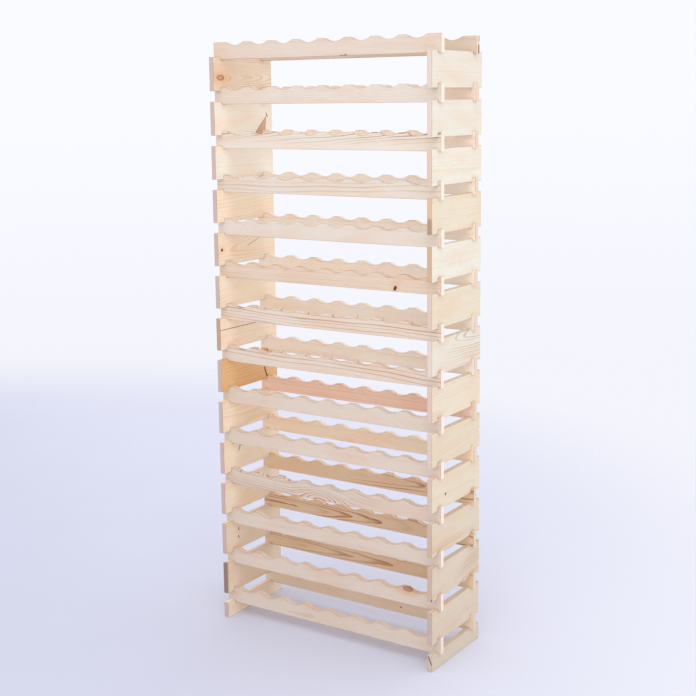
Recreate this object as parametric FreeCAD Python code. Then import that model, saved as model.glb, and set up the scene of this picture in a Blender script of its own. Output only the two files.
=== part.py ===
"""A tall knock-down wine rack: fourteen tiers of cross-lapped pine boards.

Frame: X runs along the rack's width, -Y is the front, +Z is up. The origin is on the floor, under
the middle of the rack. Millimetres.

Each tier holds eight bottles on two wavy rails. The rails of one tier rest on the side boards below
them and carry the side boards of the tier above, so the stack is a crib of crossing boards, each
notched over the next. The lowest side boards are low ones that stand on the floor.
"""

import FreeCAD, Part
import math
import os

Vector = FreeCAD.Vector

# The stack
TIERS = 14
TIER_PITCH = 127.0
WIDTH_OVER_SIDES = 736.0
BOTTOM_LAP = 7.0  # a rail's lower edge is this far below the top of the side board under it
TOP_LAP = 12.0  # a rail's upper edge is this far above the foot of the side board over it

# Side boards
SIDE_DEPTH = 279.0
SIDE_THICKNESS = 15.0
BASE_HEIGHT = 48.0

# Rails
RAIL_HEIGHT = 49.0
RAIL_THICKNESS = 18.0
RAIL_SETBACK = 34.0  # from the side boards' ends to the rail
RAIL_OVERHANG = 9.5  # past the side boards' outer faces

# Bottle rests, cut in a rail's upper edge
BOTTLES_PER_TIER = 8
BOTTLE_PITCH = 86.3
REST_RADIUS = 57.0
REST_DEPTH = 10.0
REST_LIP_RADIUS = 6.0  # rounds the shoulder between a rest and the flat beside it

# Cross laps: what each board gives up of the lap, and how loosely it fits
RAIL_FOOT_NOTCH = 3.5
RAIL_HEAD_NOTCH = 4.0
NOTCH_CLEARANCE = 0.25  # on each side of the crossing board

EDGE_EASE = 0.6  # width of the sanded arrises

# Worked out from the above
SIDE_HEIGHT = TIER_PITCH - RAIL_HEIGHT + BOTTOM_LAP + TOP_LAP
SIDE_HEAD_NOTCH = BOTTOM_LAP - RAIL_FOOT_NOTCH
SIDE_FOOT_NOTCH = TOP_LAP - RAIL_HEAD_NOTCH
RAIL_LENGTH = WIDTH_OVER_SIDES + 2 * RAIL_OVERHANG
SIDE_CENTRE = WIDTH_OVER_SIDES / 2 - SIDE_THICKNESS / 2
RAIL_CENTRE = SIDE_DEPTH / 2 - RAIL_SETBACK - RAIL_THICKNESS / 2
FIRST_RAIL_FOOT = BASE_HEIGHT - BOTTOM_LAP


def rail_foot(tier):
    """Height of the lower edge of a tier's rails; tier 1 is the lowest."""
    return FIRST_RAIL_FOOT + (tier - 1) * TIER_PITCH


def notch_points(centre, width, level, floor):
    """The four corners, left to right, of a square notch in an edge at height level."""
    half = width / 2 + NOTCH_CLEARANCE
    return [
        (centre - half, level),
        (centre - half, floor),
        (centre + half, floor),
        (centre + half, level),
    ]


def line_edges(points):
    """Straight edges through (across, up) points."""
    corners = [Vector(across, 0, up) for across, up in points]
    return [Part.LineSegment(a, b).toShape() for a, b in zip(corners, corners[1:])]


def rest_half_width():
    """Half the width of a bottle rest, from its middle to where its shoulder meets the flat."""
    reach = REST_RADIUS + REST_LIP_RADIUS
    rise = REST_RADIUS - REST_DEPTH + REST_LIP_RADIUS
    return math.sqrt(reach**2 - rise**2)


def rest_edges(centre, level):
    """A bottle rest from right to left: a shoulder, the round bed of the bottle, a shoulder."""
    half = rest_half_width()
    lip_height = level - REST_LIP_RADIUS
    bed_height = level - REST_DEPTH + REST_RADIUS
    turn = math.asin(half / (REST_RADIUS + REST_LIP_RADIUS))

    def lip_point(side, angle):
        across = centre + side * (half - REST_LIP_RADIUS * math.sin(angle))
        return Vector(across, 0, lip_height + REST_LIP_RADIUS * math.cos(angle))

    def shoulder(side):
        return [lip_point(side, 0), lip_point(side, turn / 2), lip_point(side, turn)]

    right = shoulder(1)
    left = shoulder(-1)[::-1]
    bed = Vector(centre, 0, bed_height - REST_RADIUS)
    return [
        Part.Arc(*right).toShape(),
        Part.Arc(right[-1], bed, left[0]).toShape(),
        Part.Arc(*left).toShape(),
    ]


def rail_outline(has_head_notches):
    """The closed outline of a rail, foot at height 0, seen from the front."""
    end = RAIL_LENGTH / 2
    foot = [(-end, RAIL_HEIGHT), (-end, 0)]
    for side in (-1, 1):
        foot += notch_points(side * SIDE_CENTRE, SIDE_THICKNESS, 0, RAIL_FOOT_NOTCH)
    foot += [(end, 0), (end, RAIL_HEIGHT)]
    head_notches = {-1: [], 1: []}
    if has_head_notches:
        floor = RAIL_HEIGHT - RAIL_HEAD_NOTCH
        for side in (-1, 1):
            corners = notch_points(side * SIDE_CENTRE, SIDE_THICKNESS, RAIL_HEIGHT, floor)
            head_notches[side] = corners[::-1]

    edges = line_edges(foot)
    reached = [(end, RAIL_HEIGHT)] + head_notches[1]
    for bottle in reversed(range(BOTTLES_PER_TIER)):
        centre = (bottle - (BOTTLES_PER_TIER - 1) / 2) * BOTTLE_PITCH
        edges += line_edges(reached + [(centre + rest_half_width(), RAIL_HEIGHT)])
        edges += rest_edges(centre, RAIL_HEIGHT)
        reached = [(centre - rest_half_width(), RAIL_HEIGHT)]
    edges += line_edges(reached + head_notches[-1] + [(-end, RAIL_HEIGHT)])
    return edges


def side_outline(height, has_foot_notches):
    """The closed outline of a side board, foot at height 0, seen from the side."""
    end = SIDE_DEPTH / 2
    foot = [(-end, height), (-end, 0)]
    if has_foot_notches:
        for side in (-1, 1):
            foot += notch_points(side * RAIL_CENTRE, RAIL_THICKNESS, 0, SIDE_FOOT_NOTCH)
    head = [(end, 0), (end, height)]
    for side in (1, -1):
        floor = height - SIDE_HEAD_NOTCH
        head += notch_points(side * RAIL_CENTRE, RAIL_THICKNESS, height, floor)[::-1]
    return line_edges(foot + head + [(-end, height)])


def board(edges, thickness):
    """A board of this outline, centred on the plane of its outline, with eased arrises."""
    face = Part.Face(Part.Wire(edges))
    face.translate(Vector(0, -thickness / 2, 0))
    blank = face.extrude(Vector(0, thickness, 0))
    arrises = [e for e in blank.Edges if e.BoundBox.YLength < thickness / 2]
    return blank.makeChamfer(EDGE_EASE, arrises)


def rail(has_head_notches):
    """A rail with its foot at height 0, in the middle of the rack's depth."""
    return board(rail_outline(has_head_notches), RAIL_THICKNESS)


def side_board(height, has_foot_notches):
    """A side board with its foot at height 0, in the middle of the rack's width."""
    across = board(side_outline(height, has_foot_notches), SIDE_THICKNESS)
    across.rotate(Vector(0, 0, 0), Vector(0, 0, 1), 90)
    return across


def placed(shape, x, y, z):
    """A copy of a board, moved."""
    copy = shape.copy()
    copy.translate(Vector(x, y, z))
    return copy


def rails():
    """The front and rear rails of every tier. Nothing stands on the top pair: no notches there."""
    notched = rail(has_head_notches=True)
    plain = rail(has_head_notches=False)
    made = {}
    for tier in range(1, TIERS + 1):
        shape = plain if tier == TIERS else notched
        made[f"front_rail_{tier:02d}"] = placed(shape, 0, -RAIL_CENTRE, rail_foot(tier))
        made[f"rear_rail_{tier:02d}"] = placed(shape, 0, RAIL_CENTRE, rail_foot(tier))
    return made


def side_boards():
    """The side boards between tiers, and the two low ones on the floor."""
    full = side_board(SIDE_HEIGHT, has_foot_notches=True)
    low = side_board(BASE_HEIGHT, has_foot_notches=False)
    made = {}
    for name, x in (("left", -SIDE_CENTRE), ("right", SIDE_CENTRE)):
        made[f"base_board_{name}"] = placed(low, x, 0, 0)
        for tier in range(1, TIERS):
            foot = rail_foot(tier) + RAIL_HEIGHT - TOP_LAP
            made[f"side_board_{name}_{tier:02d}"] = placed(full, x, 0, foot)
    return made


def build():
    """Every board of the rack, by name."""
    return {**rails(), **side_boards()}


os.makedirs("parts", exist_ok=True)
for name, shape in build().items():
    if not shape.isValid() or len(shape.Solids) != 1:
        raise ValueError(f"{name} is not one sound solid")
    shape.exportStep(f"parts/{name}.step")
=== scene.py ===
"""The looks of the wine rack: fifty-six planed pine boards on a pale studio floor.

A board is shaped in board space, in metres: u along it, v up its face from its foot, and w through its
thickness, from the face that a person in front and to the right of the rack sees. Its wood is a solid
texture in log space, where x runs along the log's heart. A board's vertices carry their place in the log,
so the growth rings run unbroken over faces, edges and end grain. Its custom properties say what that wood is
like: its tint and the colour of its sawn ends, its figure and where that dies away, its growth rings, its
knots and its streaks. The rear rails' tint is partly painted light, and their sawn ends' colour partly
painted shade.
"""

import math
import random
from dataclasses import dataclass

import bmesh
import bpy
from mathutils import Euler, Matrix, Vector


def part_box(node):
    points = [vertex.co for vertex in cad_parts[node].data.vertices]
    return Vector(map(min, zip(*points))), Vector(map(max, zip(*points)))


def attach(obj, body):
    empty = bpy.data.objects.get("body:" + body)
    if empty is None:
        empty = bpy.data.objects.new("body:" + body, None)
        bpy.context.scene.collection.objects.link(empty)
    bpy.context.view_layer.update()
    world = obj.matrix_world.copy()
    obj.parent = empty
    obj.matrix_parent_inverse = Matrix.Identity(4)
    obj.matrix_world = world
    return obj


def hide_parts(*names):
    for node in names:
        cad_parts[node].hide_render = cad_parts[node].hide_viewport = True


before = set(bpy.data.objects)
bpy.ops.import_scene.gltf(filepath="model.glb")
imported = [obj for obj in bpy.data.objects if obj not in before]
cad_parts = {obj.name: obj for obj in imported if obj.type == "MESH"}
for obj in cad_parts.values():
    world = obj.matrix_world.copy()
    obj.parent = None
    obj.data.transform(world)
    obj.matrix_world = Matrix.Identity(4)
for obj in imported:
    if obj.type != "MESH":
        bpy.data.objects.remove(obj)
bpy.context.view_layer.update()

# Bottle rests, cut in a rail's upper edge
BOTTLES_PER_TIER = 8
BOTTLE_PITCH = 0.0863
REST_RADIUS = 0.057
REST_DEPTH = 0.010
REST_LIP_RADIUS = 0.006
REST_STEPS = 14
LIP_STEPS = 4

# Cross laps
RAIL_FOOT_NOTCH = 0.0035
RAIL_HEAD_NOTCH = 0.004
SIDE_HEAD_NOTCH = 0.0035
SIDE_FOOT_NOTCH = 0.008
NOTCH_CLEARANCE = 0.00025

# Finish of a board
ARRIS = 0.0008
ARRIS_STEPS = 2
ROUND_PROFILE = 0.5
SAW_ERROR = 0.0012  # the most that a cut end falls short
SHARP_ANGLE = math.radians(50)
DULLEST = 0.97      # boards of one tone differ this much in brightness
LOG_REACH = 40      # boards come from anywhere along this much log

# The view: a standing photographer, to the right of the rack
EYE = (2.0022, -3.0200, 1.5749)
YAW = 0.5831
PITCH = 0.1672
ROLL = -0.0111
LENS = 65.48
SENSOR = 36.0
SHIFT_Y = -0.0503
VIEW_DEPTH = 60

TIERS = sum(name.startswith("front_rail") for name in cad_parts)


# ---------------------------------------------------------------- what each board's wood is like

# The tones that tell one board's wood from another's; the palest, on the upper rear rails, are partly painted
# light. Each is a lightness, how far the red stands above it and how far the blue falls below it, in
# hundredths
TONES = {
    # partly painted light: the rear rails take this palest tone to make up for the light that reaches them
    # less
    "milk": (98, 1, 3),
    "ivory": (98, 0, 3),
    "warm": (96, 4, 7),
    "almond": (91, 5, 7),
    "cream": (90, 0, 3),
    "chalk": (92, -1, 3),
    "straw": (88, 2, 6),
    "oat": (84, 3, 6),
    "sand": (86, 3, 4),
    "pale": (87, 1, 3),
    "ash": (84, 3, 4),
    "putty": (81, 3, 5),
    "rosy": (84, 5, 6),
    "honey": (86, 7, 10),
    "wheat": (89, 5, 7),
    "mist": (91, 5, 4),
    "salmon": (89, 9, 5),
    "amber": (78, 15, 21),
}


@dataclass
class Look:
    """One board's wood. Lengths are in metres."""
    tone: str = "pale"
    figure: float = 0.15        # how strongly the late wood shows
    ring: float = 0.004         # width of a growth ring
    fine: float = 0.3           # 0 for broad late wood, 1 for hairlines
    heart: tuple = (0.02, 0.06)  # (v, w) of the log's heart at the board's middle
    drift: tuple = (0.0, 0.0)   # how far the heart moves in v and w for each step along u
    wander: float = 1.0         # how unruly the rings are
    fade: tuple = ()            # two (u, v): the figure dies away from the first to the second
    knots: tuple = ()           # up to two (u, v, radius), on the seen face
    lean: float = 0.35          # how far a branch climbs along the log for each step out of it
    stretch: float = 1.4        # how much longer than wide a knot is
    dead: float = 0.0           # 0 for a live red-brown knot, 1 for a black one
    blush: float = 1.0          # how warm the wood round a knot is
    buried: float = 0.0         # 1 for a knot that stays under the face and only bends the rings
    swell: float = 0.008        # how far the rings bulge round a knot
    streaks: tuple = ()         # up to two (from, to, radius), each end a (u, v, w)
    streak_depth: float = 0.8   # how dark the streaks are


LOOKS = {
    "front_rail_14": Look("ash", 0.15, streaks=(((0.063, 0.0, 0.0), (0.070, 0.001, 0.0), 0.0018),
                                                ((0.075, 0.0, 0.0), (0.083, 0.002, 0.0), 0.0022))),
    "front_rail_13": Look("pale", 0.40, 0.0045, 0.5, heart=(-0.08, 0.02), wander=1.5),
    "front_rail_12": Look("cream", 2.8, 0.0060, 0.30, heart=(-0.070, 0.05), drift=(0.060, 0.0), wander=3.5,
                          fade=((0.0, 0.048), (0.0, 0.014))),
    "front_rail_11": Look("pale", 0.60, 0.012, 0.6, heart=(-0.05, 0.03), drift=(0.03, 0.0), wander=2.8),
    "front_rail_10": Look("pale", 0.10),
    "front_rail_09": Look("rosy", 0.45, 0.006, heart=(-0.04, 0.03), knots=((0.234, 0.009, 0.0032),),
                          dead=1.0),
    "front_rail_08": Look("sand", 1.6, 0.0100, 0.8, heart=(-0.06, 0.035), drift=(-0.03, 0.0), wander=2.8),
    "front_rail_07": Look("sand", 1.1, 0.0120, 0.8, heart=(-0.05, 0.025), drift=(-0.025, 0.0), wander=2.8),
    "front_rail_06": Look("ash", 0.12),
    "front_rail_05": Look("ash", 0.14),
    "front_rail_04": Look("ash", 1.8, 0.0055, 0.6, heart=(-0.050, 0.020), drift=(-0.06, 0.0), wander=2.0,
                          fade=((0.08, 0.0), (0.22, 0.0)), knots=((-0.020, 0.022, 0.0045),), stretch=6.0,
                          buried=1.0, swell=0.022),
    "front_rail_03": Look("ash", 0.14),
    "front_rail_02": Look("ash", 0.14, knots=((0.272, 0.046, 0.0068),), stretch=2.2, dead=0.1),
    "front_rail_01": Look("ash", 0.30, 0.003, wander=1.8),
    "rear_rail_14": Look("putty", 0.35, streaks=(((0.377, 0.006, 0.014), (0.377, 0.022, 0.015), 0.0055),
                                               ((0.377, 0.038, 0.017), (0.377, 0.049, 0.018), 0.0045))),
    # Partly painted light: the upper rear rails are paler than their wood, to make up for the light that
    # reaches them less
    "rear_rail_13": Look("mist", 0.20),
    "rear_rail_11": Look("milk", 0.20),
    "rear_rail_10": Look("milk", 0.20),
    "rear_rail_09": Look("milk", 0.20),
    "rear_rail_08": Look("milk", 0.12),
    "rear_rail_07": Look("milk", 0.22, streaks=(((-0.356, 0.001, 0.0), (-0.352, 0.003, 0.0), 0.0035),)),
    "rear_rail_06": Look("salmon", 0.55, 0.006, heart=(-0.05, 0.03)),
    "rear_rail_05": Look("warm", 0.15),
    "rear_rail_04": Look("honey", 1.30, 0.008, 0.6, heart=(0.030, 0.012), drift=(0.0, 0.05), wander=2.5,
                         fade=((0.08, 0.0), (-0.12, 0.0))),
    "rear_rail_03": Look("honey", 1.6, 0.0060, 0.2, heart=(0.020, 0.021), drift=(0.0, 0.05), wander=2.4),
    "rear_rail_02": Look("honey", 1.2, 0.0065, 0.2, heart=(0.020, 0.0195), drift=(0.0, 0.035), wander=1.6),
    "rear_rail_01": Look("almond", 0.15, streaks=(((0.131, 0.019, 0.0), (0.133, 0.019, 0.0), 0.0028),)),
    "side_board_left_13": Look("wheat", 0.80, 0.0036, 0.4, heart=(0.040, 0.020), drift=(0.0, 0.055),
                               wander=1.3, knots=((-0.108, 0.039, 0.0070),), stretch=2.2, blush=0.85),
    "side_board_left_12": Look("ivory", 0.12, heart=(0.056, 0.0), knots=((0.076, 0.002, 0.022),), lean=-0.64,
                               stretch=1.0, blush=0.15, streak_depth=0.9,
                               streaks=(((0.107, 0.062, 0.0), (0.116, 0.052, 0.0), 0.0019),)),
    "side_board_left_11": Look("ivory", 0.12),
    "side_board_left_10": Look("warm", 0.65, 0.0065, 0.6, heart=(-0.05, 0.03), drift=(0.05, 0.0), wander=2.0),
    "side_board_left_09": Look("warm", 0.45, 0.006, 0.6, heart=(0.045, 0.030), drift=(0.06, -0.06),
                               wander=1.8, knots=((-0.121, 0.046, 0.0044),), dead=1.0, stretch=1.1,
                               streak_depth=0.6,
                               streaks=(((0.002, 0.048, 0.0), (0.066, 0.068, 0.0), 0.0012),)),
    "side_board_left_08": Look("warm", 0.60, 0.007, 0.5, heart=(-0.05, 0.03), drift=(0.16, 0.0), wander=1.8,
                               fade=((-0.11, 0.010), (-0.06, 0.040))),
    "side_board_left_07": Look("warm", 0.20, streaks=(((-0.14, 0.061, 0.0), (0.05, 0.060, 0.0), 0.0012),),
                               streak_depth=0.9),
    "side_board_left_06": Look("amber", 0.62, 0.006, 0.4, heart=(-0.05, 0.03), wander=1.6, streak_depth=1.0,
                               streaks=(((0.073, 0.038, 0.0), (0.083, 0.012, 0.0), 0.0032),
                                        ((0.086, 0.010, 0.0), (0.102, 0.008, 0.0), 0.0022))),
    "side_board_left_04": Look("warm", 0.25, 0.005, heart=(-0.04, 0.03), drift=(0.08, 0.0), streak_depth=0.8,
                               streaks=(((-0.095, 0.086, 0.0), (-0.056, 0.080, 0.0), 0.0018),
                                        ((-0.056, 0.080, 0.0), (-0.066, 0.058, 0.0), 0.0024))),
    "side_board_left_03": Look("warm", 0.60, 0.0055, 0.5, heart=(-0.04, 0.03), drift=(0.14, 0.0), wander=2.0),
    "side_board_left_02": Look("almond", 0.20, 0.005, heart=(-0.04, 0.02), streak_depth=0.9,
                               streaks=(((-0.077, 0.066, 0.0), (-0.077, 0.060, 0.0), 0.0026),
                                        ((-0.079, 0.042, 0.0), (-0.077, 0.036, 0.0), 0.0026))),
    "side_board_left_01": Look("almond", 0.35, 0.006, 0.5, heart=(-0.03, 0.03), drift=(0.10, 0.0),
                               streaks=(((-0.1395, 0.0, 0.0075), (-0.1395, 0.097, 0.0075), 0.011),),
                               streak_depth=0.58),
    "side_board_right_13": Look("cream", 0.25, 0.005, heart=(-0.05, 0.04)),
    "side_board_right_12": Look("chalk", 0.30, 0.0035, 0.6, heart=(-0.06, 0.04)),
    "side_board_right_11": Look("chalk", 0.20),
    "side_board_right_10": Look("straw", 0.15, streak_depth=0.45,
                                streaks=(((-0.145, 0.004, 0.0075), (-0.145, 0.036, 0.0075), 0.011),)),
    "side_board_right_09": Look("chalk", 0.15),
    "side_board_right_07": Look("cream", 1.4, 0.006, 0.6, heart=(0.085, 0.022), drift=(0.0, -0.10),
                                wander=1.6, fade=((0.07, 0.08), (-0.09, 0.03))),
    "side_board_right_05": Look("straw", 0.40, 0.006, heart=(-0.04, 0.03), drift=(0.08, 0.0)),
    "side_board_right_04": Look("straw", 0.15, streak_depth=1.0,
                                streaks=(((-0.064, 0.036, 0.0), (-0.061, 0.038, 0.0), 0.0036),)),
    "side_board_right_03": Look("oat", 1.3, 0.0065, 0.4, heart=(-0.010, 0.020), drift=(0.0, -0.06),
                                wander=2.4, fade=((0.0, 0.014), (0.0, 0.040))),
    "side_board_right_02": Look("oat", 1.2, 0.0065, 0.4, heart=(-0.010, 0.022), drift=(0.06, -0.08),
                                wander=2.4, fade=((0.03, 0.014), (0.0, 0.048)),
                                streaks=(((-0.140, 0.004, 0.002), (-0.138, 0.006, 0.0), 0.0028),)),
    "side_board_right_01": Look("oat", 0.15),
    "base_board_right": Look("oat", 0.20, streaks=(((-0.14, 0.044, 0.011), (-0.14, 0.022, 0.001), 0.0020),),
                             streak_depth=1.0),
}
# the rear rails' milk is partly painted light
PLAIN_TONES = {"front": "pale", "rear": "milk", "left": "warm", "right": "straw"}

# The tones of the sawn ends, for each place in the rack, then for the boards that differ
SAWN_ENDS = {
    "front": (86, 7, 6),
    # painted shade: the rear rails' ends are darker than the front rails', as less light reaches them
    "rear": (78, 7, 8),
    "left": (67, 8, 4),
    "right": (73, 9, 6),
    "side_board_left_07": (60, 12, 10),
    "side_board_right_13": (76, 7, 5),
    "side_board_right_12": (76, 8, 5),
    "side_board_right_11": (72, 11, 8),
    "side_board_right_10": (69, 13, 12),
    "side_board_right_09": (65, 12, 12),
    "side_board_right_07": (78, 6, 5),
    "side_board_right_05": (75, 7, 5),
    "side_board_right_04": (71, 9, 6),
    "side_board_right_03": (67, 10, 8),
    "side_board_right_02": (67, 10, 8),
    "side_board_right_01": (67, 8, 5),
    "base_board_right": (71, 7, 7),
}


def plain_look(place, rng):
    """The look of a board that has nothing of note."""
    saw = rng.choice(("flat", "rift", "quarter"))
    side = rng.choice((-1, 1))
    hearts = {
        "flat": (rng.uniform(0.01, 0.04), side * rng.uniform(0.04, 0.08)),
        "rift": (side * rng.uniform(0.05, 0.09), rng.uniform(0.03, 0.06)),
        "quarter": (side * rng.uniform(0.08, 0.13), rng.uniform(-0.01, 0.02)),
    }
    drift = (rng.uniform(-0.02, 0.02), rng.uniform(-0.03, 0.03))
    return Look(PLAIN_TONES[place], rng.uniform(0.08, 0.35), rng.uniform(0.003, 0.0055), heart=hearts[saw],
                drift=drift)


# ---------------------------------------------------------------- board outlines

def notch(centre, width, level, floor):
    """Corners, left to right, of a square notch in an edge at height level."""
    half = width / 2 + NOTCH_CLEARANCE
    return [(centre - half, level), (centre - half, floor), (centre + half, floor), (centre + half, level)]


def rest(centre, level):
    """Points of one bottle rest from right to left: a shoulder, the bottle's bed, a shoulder."""
    half = math.sqrt((REST_RADIUS + REST_LIP_RADIUS) ** 2 - (REST_RADIUS - REST_DEPTH + REST_LIP_RADIUS) ** 2)
    turn = math.asin(half / (REST_RADIUS + REST_LIP_RADIUS))
    right = []
    for step in range(LIP_STEPS):
        angle = turn * step / LIP_STEPS
        across = half - REST_LIP_RADIUS * math.sin(angle)
        right.append((across, level - REST_LIP_RADIUS + REST_LIP_RADIUS * math.cos(angle)))
    bed = []
    for step in range(REST_STEPS + 1):
        angle = turn * (1 - 2 * step / REST_STEPS)
        height = level - REST_DEPTH + REST_RADIUS - REST_RADIUS * math.cos(angle)
        bed.append((REST_RADIUS * math.sin(angle), height))
    left = [(-across, height) for across, height in reversed(right)]
    return [(centre + across, height) for across, height in right + bed + left]


def rail_outline(size, side_places, side_thickness, head_notches):
    """A rail seen from the front, anticlockwise from its lower left corner, middle at u 0, foot at v 0."""
    end = size.x / 2
    points = [(-end, 0)]
    for place in side_places:
        points += notch(place, side_thickness, 0, RAIL_FOOT_NOTCH)
    points += [(end, 0), (end, size.z)]
    head = {place: [] for place in side_places}
    if head_notches:
        for place in side_places:
            head[place] = notch(place, side_thickness, size.z, size.z - RAIL_HEAD_NOTCH)[::-1]
    points += head[side_places[1]]
    for bottle in reversed(range(BOTTLES_PER_TIER)):
        points += rest((bottle - (BOTTLES_PER_TIER - 1) / 2) * BOTTLE_PITCH, size.z)
    return points + head[side_places[0]] + [(-end, size.z)]


def side_outline(length, height, rail_places, rail_thickness, foot_notches):
    """A side board seen from its side, as a rail's outline is."""
    end = length / 2
    points = [(-end, 0)]
    if foot_notches:
        for place in rail_places:
            points += notch(place, rail_thickness, 0, SIDE_FOOT_NOTCH)
    points += [(end, 0), (end, height)]
    for place in reversed(rail_places):
        points += notch(place, rail_thickness, height, height - SIDE_HEAD_NOTCH)[::-1]
    return points + [(-end, height)]


# ---------------------------------------------------------------- the log a board was sawn from

NO_KNOT = (-100.0, 0.0, 0.001)
NO_STREAK = (-100.0, 0.0, 0.0)
NO_FADE = (100.0, 0.0, 0.0)
NO_RUN = (0.001, 0.0, 0.0)
NO_WIDTH = 0.001


class Log:
    """Where a board lay in its log."""

    def __init__(self, start, look):
        self.start = start
        self.look = look

    def place(self, u, v, w):
        """A board-space point in log space."""
        heart, drift = self.look.heart, self.look.drift
        return Vector((self.start + u, v - heart[0] - drift[0] * u, w - heart[1] - drift[1] * u))

    def branch(self, u, v, radius):
        """The branch that makes a knot on the seen face: where it leaves the heart, the way it points round
        the heart, and how fast it widens."""
        spot = self.place(u, v, 0.0)
        reach = math.hypot(spot.y, spot.z)
        return (spot.x - self.look.lean * reach, math.atan2(spot.z, spot.y), radius / reach)

    def write(self, piece):
        """Puts the wood's nature on a piece, where its material reads it."""
        look = self.look
        piece["figure"] = look.figure
        piece["ring"] = look.ring
        piece["fine"] = look.fine
        piece["wander"] = look.wander
        knots = [self.branch(*knot) for knot in look.knots] + [NO_KNOT] * 2
        piece["knot_a"], piece["knot_b"] = list(knots[0]), list(knots[1])
        piece["knot_form"] = [look.lean, look.stretch, look.dead]
        piece["blush"] = look.blush
        piece["buried"] = look.buried
        piece["swell"] = look.swell
        widths = [NO_WIDTH, NO_WIDTH]
        for index, letter in enumerate("ab"):
            start, run = Vector(NO_STREAK), Vector(NO_RUN)
            if index < len(look.streaks):
                first, last, widths[index] = look.streaks[index]
                start = self.place(*first)
                run = self.place(*last) - start
            piece[f"streak_{letter}"] = list(start)
            piece[f"streak_{letter}_run"] = list(run)
        piece["streak_form"] = [*widths, look.streak_depth]
        start, run = Vector(NO_FADE), Vector(NO_RUN)
        if look.fade:
            # Log space leans with the heart's drift, and so does the slope down which the figure dies away
            first, last = Vector(look.fade[0]), Vector(look.fade[1])
            slope = (last - first) / (last - first).length_squared
            slope = Vector((slope.x + slope.y * look.drift[0], slope.y, 0.0))
            start = self.place(*first, 0.0)
            run = slope / slope.length_squared
        piece["fade"], piece["fade_run"] = list(start), list(run)


# ---------------------------------------------------------------- board meshes

def board_mesh(name, outline, thickness, log, axes, origin):
    """A solid board with eased arrises. axes are the row directions of u and w; v is always up."""
    along, through = axes
    bm = bmesh.new()
    grain = bm.verts.layers.float_vector.new("log")
    cut = bm.faces.layers.float.new("end_grain")
    arris_layer = bm.faces.layers.float.new("arris")
    face = bm.faces.new([bm.verts.new((u, 0, v)) for u, v in outline])
    grown = bmesh.ops.extrude_face_region(bm, geom=[face])["geom"]
    moved = [item for item in grown if isinstance(item, bmesh.types.BMVert)]
    bmesh.ops.translate(bm, verts=moved, vec=(0, thickness, 0))
    bmesh.ops.recalc_face_normals(bm, faces=bm.faces)
    rims = [e for e in bm.edges if abs(e.verts[0].co.y - e.verts[1].co.y) < thickness / 2]
    eased = bmesh.ops.bevel(bm, geom=rims, offset=ARRIS, offset_type="OFFSET", segments=ARRIS_STEPS,
                            profile=ROUND_PROFILE, affect="EDGES", clamp_overlap=True)["faces"]
    for vert in bm.verts:
        u, w, v = vert.co
        vert[grain] = log.place(u, v, w)
    for f in bm.faces:
        f[cut] = abs(f.normal.x)
        f.smooth = True
    # The eased faces, where the material paints a dark outline of shade
    for f in eased:
        f[arris_layer] = 1.0
    for vert in bm.verts:
        u, w, v = vert.co
        vert.co = Vector(origin) + along * u + through * w + Vector((0, 0, v))
    bmesh.ops.recalc_face_normals(bm, faces=bm.faces)
    mesh = bpy.data.meshes.new(name)
    bm.to_mesh(mesh)
    bm.free()
    mesh.set_sharp_from_angle(angle=SHARP_ANGLE)
    return mesh


# ---------------------------------------------------------------- node trees

class Graph:
    """Short calls that add nodes to a tree and join them up."""

    def __init__(self, tree):
        tree.nodes.clear()
        self.tree = tree

    def node(self, kind, inputs=None, **settings):
        made = self.tree.nodes.new(kind)
        for key, value in settings.items():
            setattr(made, key, value)
        for key, value in (inputs or {}).items():
            self.feed(made.inputs[key], value)
        return made

    def feed(self, socket, value):
        if isinstance(value, bpy.types.NodeSocket):
            self.tree.links.new(value, socket)
        else:
            socket.default_value = value

    def math(self, operation, *values, clamp=False):
        made = self.node("ShaderNodeMath", operation=operation, use_clamp=clamp)
        for socket, value in zip(made.inputs, values):
            self.feed(socket, value)
        return made.outputs[0]

    def times(self, *values):
        """The product of all the values."""
        total = values[0]
        for value in values[1:]:
            total = self.math("MULTIPLY", total, value)
        return total

    def plus(self, *values):
        """The sum of all the values."""
        total = values[0]
        for value in values[1:]:
            total = self.math("ADD", total, value)
        return total

    def ramp(self, value, low, high, bottom=0.0, top=1.0):
        """A smooth step from bottom, at low, to top, at high."""
        made = self.node("ShaderNodeMapRange", interpolation_type="SMOOTHSTEP")
        for socket, given in zip(made.inputs, (value, low, high, bottom, top)):
            self.feed(socket, given)
        return made.outputs[0]

    def mix(self, factor, first, second, blend="MIX"):
        made = self.node("ShaderNodeMix", data_type="RGBA", blend_type=blend)
        self.feed(made.inputs["Factor"], factor)
        self.feed(made.inputs[6], first)
        self.feed(made.inputs[7], second)
        return made.outputs[2]

    def vector(self, x, y, z):
        return self.node("ShaderNodeCombineXYZ", {"X": x, "Y": y, "Z": z}).outputs[0]

    def split(self, vector):
        return self.node("ShaderNodeSeparateXYZ", {"Vector": vector}).outputs

    def combine(self, operation, first, second, output="Vector"):
        made = self.node("ShaderNodeVectorMath", {0: first, 1: second}, operation=operation)
        return made.outputs[output]

    def noise(self, place, scale, detail=2.0, roughness=0.5):
        """Noise about zero, from -0.5 to 0.5."""
        made = self.node("ShaderNodeTexNoise", {"Vector": place, "Scale": scale, "Detail": detail,
                                                "Roughness": roughness})
        return self.math("SUBTRACT", made.outputs["Fac"], 0.5)

    def face(self, name):
        """A value that the mesh carries."""
        return self.node("ShaderNodeAttribute", attribute_type="GEOMETRY", attribute_name=name)

    def board(self, name):
        """A custom property of the piece."""
        return self.node("ShaderNodeAttribute", attribute_type="OBJECT", attribute_name=name)

    def finish(self, shader):
        output = self.node("ShaderNodeOutputMaterial")
        self.tree.links.new(shader, output.inputs["Surface"])


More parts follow.
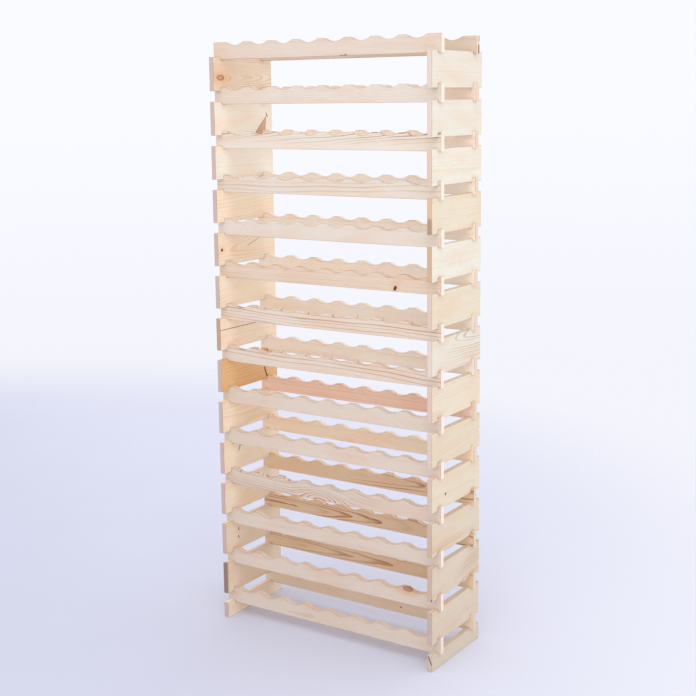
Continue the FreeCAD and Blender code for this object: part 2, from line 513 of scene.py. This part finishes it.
def linear(part):
    """One part of an sRGB colour, from 0 to 1, in linear light."""
    return part / 12.92 if part <= 0.04045 else ((part + 0.055) / 1.055) ** 2.4


def rgb(text):
    """A colour given as six sRGB hex digits, in linear light."""
    return tuple(linear(int(text[i:i + 2], 16) / 255) for i in (0, 2, 4)) + (1.0,)


def wood_tone(light, red, yellow):
    """The colour of a tone, in linear light."""
    return [linear(part / 100) for part in (light + red, light, light - yellow)]


# ---------------------------------------------------------------- pine

EARLY_WOOD = rgb("F7F0E8")
LATE_WOOD = rgb("C39A76")
DEEP_WOOD = rgb("93694B")
FLUSH = rgb("F6D6C0")  # the warm cloudy patches of a planed face
KNOT_HALO = rgb("EBC09B")
LIVE_KNOT = rgb("D8AE98")
LIVE_RIM = rgb("96614B")
DEAD_KNOT = rgb("6E4C3A")
DEAD_RIM = rgb("38231B")
STREAK = rgb("5C2C12")
PAINTED_ARRIS_SHADE = rgb("B0836A")  # painted shade: a dark outline along every eased arris, in patches

# Noise that is drawn out along the log: along is its pace there, where its pace across is 1
SLOW_STRAY = {"along": 0.16, "scale": 14.0}
QUICK_STRAY = {"along": 0.3, "scale": 90.0}
FIBRES = {"along": 0.03, "scale": 900.0, "detail": 3.0, "roughness": 0.6}
CANALS = {"along": 0.06, "scale": 1500.0, "detail": 0.0}
CLOUDS = {"along": 0.25, "scale": 22.0, "detail": 3.0}

# Noise that makes outlines and sawn ends uneven: its scale, then its depth
KNOT_EDGE = (160.0, 0.35)   # depth in radii of the knot
STREAK_EDGE = (420.0, 0.5)  # depth in half widths of the streak
END_SPECKLE = (500.0, 0.5)

SLOW_DEPTH = 0.012     # how far the rings stray from circles, for a wander of 1
QUICK_DEPTH = 0.0016
YEAR_SPREAD = 1.6      # how unevenly wide the rings are
YEAR_PACE = {"scale": 60.0, "detail": 1.0}
BULGE_REACH = 5.0      # in radii of the knot
BRANCH_ROOT = 0.004    # a branch is no thinner than it is this far out
BEHIND_HEART = 0.003   # a branch is gone this far behind the heart
FAR = 50.0             # farther from a knot than anything it changes
KNOT_RINGS = 3.0       # to a radius

# Where in the year, from 0 to 1, late wood sets in, is full and stops
LATE_ONSET = 0.3
HAIRLINE_DELAY = 0.5   # it sets in this much later if it is all hairlines
LATE_FULL = 0.9
LATE_STOP = (0.92, 1.0, 1.0, 0.0)
DEEP_FROM = 0.8        # stronger late wood than this turns deep

# Steps, each the limits of a ramp, then its values there unless they are 0 and 1
YEAR_VIGOUR = (0.0, 0.8, 0.2, 1.0)
CANAL_STEP = (0.22, 0.3)
FIBRE_STEP = (-0.15, 0.25)
FLUSH_STEP = (-0.12, 0.25)
FIGURE_IN_CLOUDS = (-0.25, 0.2, 0.35, 1.05)
# The painted shade on the arrises comes and goes with the clouds
ARRIS_SHADE_IN_CLOUDS = (-0.2, 0.2, 0.45, 1.0)
END_STEP = (0.5, 1.0)

# Steps out from the middle of a knot, in radii, or of a streak, in half widths
KNOT_RING_STEP = (0.3, 0.9)
KNOT_SIDE = (0.92, 1.08, 1.0, 0.0)
RIM_INSIDE = (0.75, 0.95)
RIM_OUTSIDE = (1.02, 1.2, 1.0, 0.0)
HALO_FADE = (1.0, 4.5, 1.0, 0.0)
STREAK_SIDE = (0.55, 1.1, 1.0, 0.0)

# How much each shows in the colour
FIBRE_SHARE = 0.17
CANAL_SHARE = 0.3
FLUSH_SHARE = 0.45
HALO_SHARES = (0.75, 0.35)  # round a live knot and round a dead one
KNOT_RING_SHARE = 0.4
RIM_SHARE = 0.85
END_FIGURE_SHARE = 0.5
END_GRAIN_SHARE = 0.6

# Relief and gloss
LATE_RISE = 0.35
CANAL_DIP = -0.4
RIM_DIP = -0.6
PINE_BUMP = {"Strength": 0.25, "Distance": 0.0004}
PINE_ROUGHNESS = (0.62, 0.52)  # of early wood and of late wood
CLOUD_ROUGHNESS = 0.1
END_ROUGHNESS = 0.2
PINE_SPECULAR = 0.3


def drawn_noise(g, log, along, scale, detail=2.0, roughness=0.5):
    """Noise about zero that is drawn out along the log."""
    return g.noise(g.vector(g.times(log[0], along), log[1], log[2]), scale, detail, roughness)


def uneven(g, place, scale, depth):
    """Noise about zero, up to half of depth each way."""
    return g.times(g.noise(place, scale), depth)


def knot_distance(g, log, name, form):
    """How many radii a point is from the middle of a board's knot, whose branch starts at the heart. Points
    behind the heart are far away, and all points are if the board has no such knot."""
    start, angle, spread = g.split(g.board(name).outputs["Vector"])
    cosine, sine = g.math("COSINE", angle), g.math("SINE", angle)
    out = g.plus(g.times(log[1], cosine), g.times(log[2], sine))
    aside = g.math("SUBTRACT", g.times(log[2], cosine), g.times(log[1], sine))
    ahead = g.math("SUBTRACT", g.math("SUBTRACT", log[0], start), g.times(out, form[0]))
    ahead = g.math("DIVIDE", ahead, form[1])
    away = g.math("SQRT", g.plus(g.times(aside, aside), g.times(ahead, ahead)))
    return g.plus(g.math("DIVIDE", away, g.times(g.math("MAXIMUM", out, BRANCH_ROOT), spread)),
                  g.ramp(out, -BEHIND_HEART, 0.0, FAR, 0.0))


def share_of_run(g, place, name):
    """How far along a board's streak or fade a point is, from 0 to 1."""
    from_start = g.combine("SUBTRACT", place, g.board(name).outputs["Vector"])
    run = g.board(f"{name}_run").outputs["Vector"]
    return g.math("DIVIDE", g.combine("DOT_PRODUCT", from_start, run, "Value"),
                  g.combine("DOT_PRODUCT", run, run, "Value"), clamp=True)


def streak_distance(g, place, name, width):
    """How many half widths a point is from a board's streak, which runs straight from end to end."""
    along = g.node("ShaderNodeVectorMath", {0: g.board(f"{name}_run").outputs["Vector"],
                                            "Scale": share_of_run(g, place, name)}, operation="SCALE")
    nearest = g.combine("ADD", g.board(name).outputs["Vector"], along.outputs["Vector"])
    return g.math("DIVIDE", g.combine("DISTANCE", place, nearest, "Value"), width)


def growth_rings(g, log, knot):
    """Late wood, from 0 to 1: rings about the log's heart that wander, and that flow round the knots."""
    radius = g.math("SQRT", g.plus(g.times(log[1], log[1]), g.times(log[2], log[2])))
    unruly = g.board("wander").outputs["Fac"]
    slow = drawn_noise(g, log, **SLOW_STRAY)
    quick = drawn_noise(g, log, **QUICK_STRAY)
    bulge = g.times(g.ramp(knot, 0.0, BULGE_REACH, -1.0, 0.0), g.board("swell").outputs["Fac"])
    bent = g.plus(radius, g.times(slow, unruly, SLOW_DEPTH), g.times(quick, QUICK_DEPTH), bulge)
    pace = g.noise(g.vector(bent, 0.0, 0.0), **YEAR_PACE)
    count = g.plus(g.math("DIVIDE", bent, g.board("ring").outputs["Fac"]), g.times(pace, YEAR_SPREAD))
    year = g.node("ShaderNodeTexWhiteNoise", {"W": g.math("FLOOR", count)}, noise_dimensions="1D")
    vigour = g.ramp(year.outputs["Value"], *YEAR_VIGOUR)

    # Late wood sets in slowly, and later the finer it is, and stops short at the year's end
    season = g.math("FRACT", count)
    onset = g.plus(g.times(g.board("fine").outputs["Fac"], HAIRLINE_DELAY), LATE_ONSET)
    return g.times(g.ramp(season, onset, LATE_FULL), g.ramp(season, *LATE_STOP), vigour)


def pine(name, tint):
    """Planed pine: growth rings, fibres, resin canals, knots, streaks and end grain, from a board's log."""
    material = bpy.data.materials.new(name)
    material.use_nodes = True
    g = Graph(material.node_tree)
    place = g.face("log").outputs["Vector"]
    log = g.split(place)
    kept = g.math("SUBTRACT", 1.0, share_of_run(g, place, "fade"))
    figure = g.times(g.board("figure").outputs["Fac"], kept)

    form = g.split(g.board("knot_form").outputs["Vector"])
    knot = g.math("MINIMUM", knot_distance(g, log, "knot_a", form), knot_distance(g, log, "knot_b", form))
    knot = g.plus(knot, uneven(g, place, *KNOT_EDGE))
    late = growth_rings(g, log, knot)

    # Fibres and resin canals run with the log; clouds are the blush of a planed face
    fibre = drawn_noise(g, log, **FIBRES)
    canal = g.ramp(drawn_noise(g, log, **CANALS), *CANAL_STEP)
    cloud = drawn_noise(g, log, **CLOUDS)

    shown = g.times(late, figure, g.ramp(cloud, *FIGURE_IN_CLOUDS))
    colour = g.mix(shown, EARLY_WOOD, LATE_WOOD)
    colour = g.mix(g.plus(shown, -DEEP_FROM), colour, DEEP_WOOD)
    colour = g.mix(g.times(g.ramp(fibre, *FIBRE_STEP), FIBRE_SHARE), colour, LATE_WOOD)
    colour = g.mix(g.times(canal, CANAL_SHARE), colour, LATE_WOOD)
    colour = g.mix(g.times(g.ramp(cloud, *FLUSH_STEP), FLUSH_SHARE), colour, FLUSH)

    # Knots: a warm halo, a ringed heart and a dark rim
    open_knot = g.math("SUBTRACT", 1.0, g.board("buried").outputs["Fac"])
    halo = g.times(g.ramp(knot, *HALO_FADE), g.ramp(form[2], 0.0, 1.0, *HALO_SHARES), open_knot,
                   g.board("blush").outputs["Fac"])
    colour = g.mix(halo, colour, KNOT_HALO)
    knot_ring = g.ramp(g.math("FRACT", g.times(knot, KNOT_RINGS)), *KNOT_RING_STEP)
    rim_colour = g.mix(form[2], LIVE_RIM, DEAD_RIM)
    heart = g.mix(g.times(knot_ring, KNOT_RING_SHARE), g.mix(form[2], LIVE_KNOT, DEAD_KNOT), rim_colour)
    colour = g.mix(g.times(g.ramp(knot, *KNOT_SIDE), open_knot), colour, heart)
    rim = g.times(g.ramp(knot, *RIM_INSIDE), g.ramp(knot, *RIM_OUTSIDE), open_knot)
    colour = g.mix(g.times(rim, RIM_SHARE), colour, rim_colour)

    # The board's own tone, then its sawn ends, the painted shade along its arrises and its streaks
    colour = g.mix(1.0, colour, g.board("tint").outputs["Color"], blend="MULTIPLY")
    colour = g.mix(1.0, colour, tint, blend="MULTIPLY")
    end = g.face("end_grain").outputs["Fac"]
    grainy = g.plus(g.times(shown, END_FIGURE_SHARE), uneven(g, place, *END_SPECKLE))
    grainy = g.math("MULTIPLY", grainy, END_GRAIN_SHARE, clamp=True)
    sawn = g.mix(grainy, g.board("sawn").outputs["Color"], LATE_WOOD)
    colour = g.mix(g.ramp(end, *END_STEP), colour, sawn)
    # Painted shade: the eased arrises darken to a brown outline, in patches
    edge_shade = g.times(g.face("arris").outputs["Fac"], g.ramp(cloud, *ARRIS_SHADE_IN_CLOUDS))
    colour = g.mix(edge_shade, colour, PAINTED_ARRIS_SHADE)
    sizes = g.split(g.board("streak_form").outputs["Vector"])
    streak = g.math("MINIMUM", streak_distance(g, place, "streak_a", sizes[0]),
                    streak_distance(g, place, "streak_b", sizes[1]))
    streak = g.plus(streak, uneven(g, place, *STREAK_EDGE))
    colour = g.mix(g.times(g.ramp(streak, *STREAK_SIDE), sizes[2]), colour, STREAK)

    # Late wood stands a hair proud and is a little glossier; end grain is dull
    relief = g.plus(g.times(late, LATE_RISE), fibre, g.times(canal, CANAL_DIP), g.times(rim, RIM_DIP))
    bump = g.node("ShaderNodeBump", {**PINE_BUMP, "Height": relief})
    rough = g.plus(g.ramp(late, 0.0, 1.0, *PINE_ROUGHNESS), g.times(cloud, CLOUD_ROUGHNESS),
                   g.times(end, END_ROUGHNESS))
    shader = g.node("ShaderNodeBsdfPrincipled", {"Base Color": colour, "Roughness": rough,
                                                 "Normal": bump.outputs["Normal"],
                                                 "Specular IOR Level": PINE_SPECULAR})
    g.finish(shader.outputs["BSDF"])
    return material


# ---------------------------------------------------------------- the boards

# A material for each slot of the record
PINES = {
    "front_rail_pine": pine("front_rail_pine", rgb("FFFDFC")),
    "rear_rail_pine": pine("rear_rail_pine", rgb("FFFCF8")),
    "side_board_pine": pine("side_board_pine", rgb("FFFFFC")),
}

ALONG_X = (Vector((1, 0, 0)), Vector((0, 1, 0)))
ALONG_Y = (Vector((0, 1, 0)), Vector((-1, 0, 0)))


def dress(node, outline, axes, slot):
    """Builds the board that stands for a node, and gives it its wood."""
    rng = random.Random(node)
    low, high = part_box(node)
    thickness = abs((high - low).dot(axes[1]))
    place = next(place for place in PLAIN_TONES if place in node)
    look = LOOKS.get(node) or plain_look(place, rng)
    log = Log(rng.uniform(0, LOG_REACH), look)
    end = outline[0][0]
    sawn_off = {end: rng.uniform(0, SAW_ERROR), -end: -rng.uniform(0, SAW_ERROR)}
    shaped = [(u + sawn_off.get(u, 0), v) for u, v in outline]
    middle = (low + high) / 2
    face = middle - axes[1] * thickness / 2
    mesh = board_mesh(f"{node}_board", shaped, thickness, log, axes, (face.x, face.y, low.z))
    mesh.materials.append(PINES[slot])
    piece = bpy.data.objects.new(f"{node}_board", mesh)
    bpy.context.scene.collection.objects.link(piece)
    soften = piece.modifiers.new("face_normals", "WEIGHTED_NORMAL")
    soften.keep_sharp = True
    brightness = rng.uniform(DULLEST, 1.0)
    # On the rear rails the tint is partly painted light
    piece["tint"] = [part * brightness for part in wood_tone(*TONES[look.tone])]
    # The rear rails' sawn colour is partly painted shade
    piece["sawn"] = wood_tone(*SAWN_ENDS.get(node, SAWN_ENDS[place]))
    log.write(piece)
    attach(piece, "root")
    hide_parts(node)


def build_boards():
    side_low, side_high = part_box("base_board_right")
    rail_low, rail_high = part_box("rear_rail_01")
    side_thickness, rail_thickness = side_high.x - side_low.x, rail_high.y - rail_low.y
    side_place, rail_place = (side_high.x + side_low.x) / 2, (rail_high.y + rail_low.y) / 2
    for node in sorted(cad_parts):
        low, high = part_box(node)
        size = high - low
        if "rail" in node:
            outline = rail_outline(size, (-side_place, side_place), side_thickness, int(node[-2:]) < TIERS)
            dress(node, outline, ALONG_X, node.split("_")[0] + "_rail_pine")
        else:
            foot_notches = node.startswith("side")
            outline = side_outline(size.y, size.z, (-rail_place, rail_place), rail_thickness, foot_notches)
            dress(node, outline, ALONG_Y, "side_board_pine")


# ---------------------------------------------------------------- studio

BACKDROP = rgb("F5F6FD")
BACKDROP_GLOW = (0.995, 1.045)  # how bright the backdrop looks, low down and high up
BACKDROP_RISE = (-0.2, 0.0)     # where that changes, as the upward part of the line of sight
FRONT_FILL = 1.08  # light from the room behind the photographer
BACK_FILL = 1.12   # light from the lit backdrop
SIDE_FILL = (-0.1, 0.22)  # what the left and the right of the room add or take away
KEY_PLACE = (1.2, -3.0, 3.4)
KEY_TARGET = (0, 0, 1.1)
KEY_SIZE = (4.0, 4.0)
KEY_POWER = 60
KEY_COLOUR = (1.0, 0.99, 0.98)
# Painted light and shade: the floor is coloured darker in front and to the left, lighter behind
FLOOR_FRONT = rgb("C5C7D6")
FLOOR_BACK = rgb("D7D8E5")
FLOOR_ROUGHNESS = 0.85
FLOOR_MIDDLE = (-1.8, -0.3)
FLOOR_RADIUS = 3.7
FLOOR_SIDES = 96
FLOOR_FADE = (1.9, 3.7)  # how far from its middle the floor starts and ends its fade into the backdrop
FLOOR_DIM = (-0.2, 2.1)  # painted shade: how far back the foreground's painted dimness reaches
FLOOR_SLANT = 0.4  # how much further back it reaches for each step to the left
FLOOR_CLOUDS = {"scale": 3.0, "detail": 4.0}
FLOOR_CLOUD_DEPTH = 0.4


def studio_floor():
    """A round pale floor that fades into the backdrop at its rim."""
    bm = bmesh.new()
    bmesh.ops.create_circle(bm, cap_ends=True, radius=FLOOR_RADIUS, segments=FLOOR_SIDES)
    mesh = bpy.data.meshes.new("floor")
    bm.to_mesh(mesh)
    bm.free()
    floor = bpy.data.objects.new("floor", mesh)
    floor.location = (*FLOOR_MIDDLE, 0)
    bpy.context.scene.collection.objects.link(floor)
    material = bpy.data.materials.new("studio_floor")
    material.use_nodes = True
    g = Graph(material.node_tree)
    place = g.node("ShaderNodeTexCoord").outputs["Object"]
    away = g.node("ShaderNodeVectorMath", {0: place}, operation="LENGTH").outputs["Value"]
    across, back = g.split(place)[:2]
    clouds = g.times(g.noise(place, **FLOOR_CLOUDS), FLOOR_CLOUD_DEPTH)
    # Painted light and shade: lighter towards the back, darker in front and to the left
    lit = g.plus(back, g.times(across, FLOOR_SLANT), clouds)
    colour = g.mix(g.ramp(lit, *FLOOR_DIM), FLOOR_FRONT, FLOOR_BACK)
    shader = g.node("ShaderNodeBsdfPrincipled", {"Base Color": colour, "Roughness": FLOOR_ROUGHNESS})
    clear = g.node("ShaderNodeBsdfTransparent")
    fade = g.node("ShaderNodeMixShader", {0: g.ramp(away, *FLOOR_FADE), 1: shader.outputs["BSDF"],
                                          2: clear.outputs["BSDF"]})
    g.finish(fade.outputs[0])
    mesh.materials.append(material)


def soft_box(name, place, target, size, power, colour):
    lamp = bpy.data.lights.new(name, "AREA")
    lamp.shape = "RECTANGLE"
    lamp.size, lamp.size_y = size
    lamp.energy = power
    lamp.color = colour
    holder = bpy.data.objects.new(name, lamp)
    holder.location = place
    holder.rotation_euler = (Vector(target) - Vector(place)).to_track_quat("-Z", "Y").to_euler()
    bpy.context.scene.collection.objects.link(holder)


def studio_light():
    """A backdrop that lights the rack a little more than it shows, and one large soft box."""
    world = bpy.data.worlds.new("backdrop")
    world.use_nodes = True
    g = Graph(world.node_tree)
    seen = g.node("ShaderNodeLightPath").outputs["Is Camera Ray"]
    facing = g.split(g.node("ShaderNodeTexCoord").outputs["Generated"])
    fill = g.plus(g.ramp(facing[1], -1.0, 1.0, FRONT_FILL, BACK_FILL),
                  g.ramp(facing[0], -1.0, 1.0, *SIDE_FILL))
    glow = g.ramp(facing[2], *BACKDROP_RISE, *BACKDROP_GLOW)
    strength = g.ramp(seen, 0.0, 1.0, fill, glow)
    background = g.node("ShaderNodeBackground", {"Color": BACKDROP, "Strength": strength})
    output = g.node("ShaderNodeOutputWorld")
    g.tree.links.new(background.outputs[0], output.inputs["Surface"])
    bpy.context.scene.world = world
    soft_box("key", KEY_PLACE, KEY_TARGET, KEY_SIZE, KEY_POWER, KEY_COLOUR)
    bpy.context.scene.view_settings.view_transform = "Standard"


def photographer():
    lens = bpy.data.cameras.new("camera")
    lens.lens = LENS
    lens.sensor_width = SENSOR
    lens.shift_y = SHIFT_Y
    lens.clip_end = VIEW_DEPTH
    camera = bpy.data.objects.new("camera", lens)
    turn = Euler((math.pi / 2 - PITCH, 0, YAW)).to_matrix() @ Matrix.Rotation(ROLL, 3, "Z")
    camera.matrix_world = Matrix.Translation(EYE) @ turn.to_4x4()
    bpy.context.scene.collection.objects.link(camera)
    bpy.context.scene.camera = camera


build_boards()
studio_floor()
studio_light()
photographer()
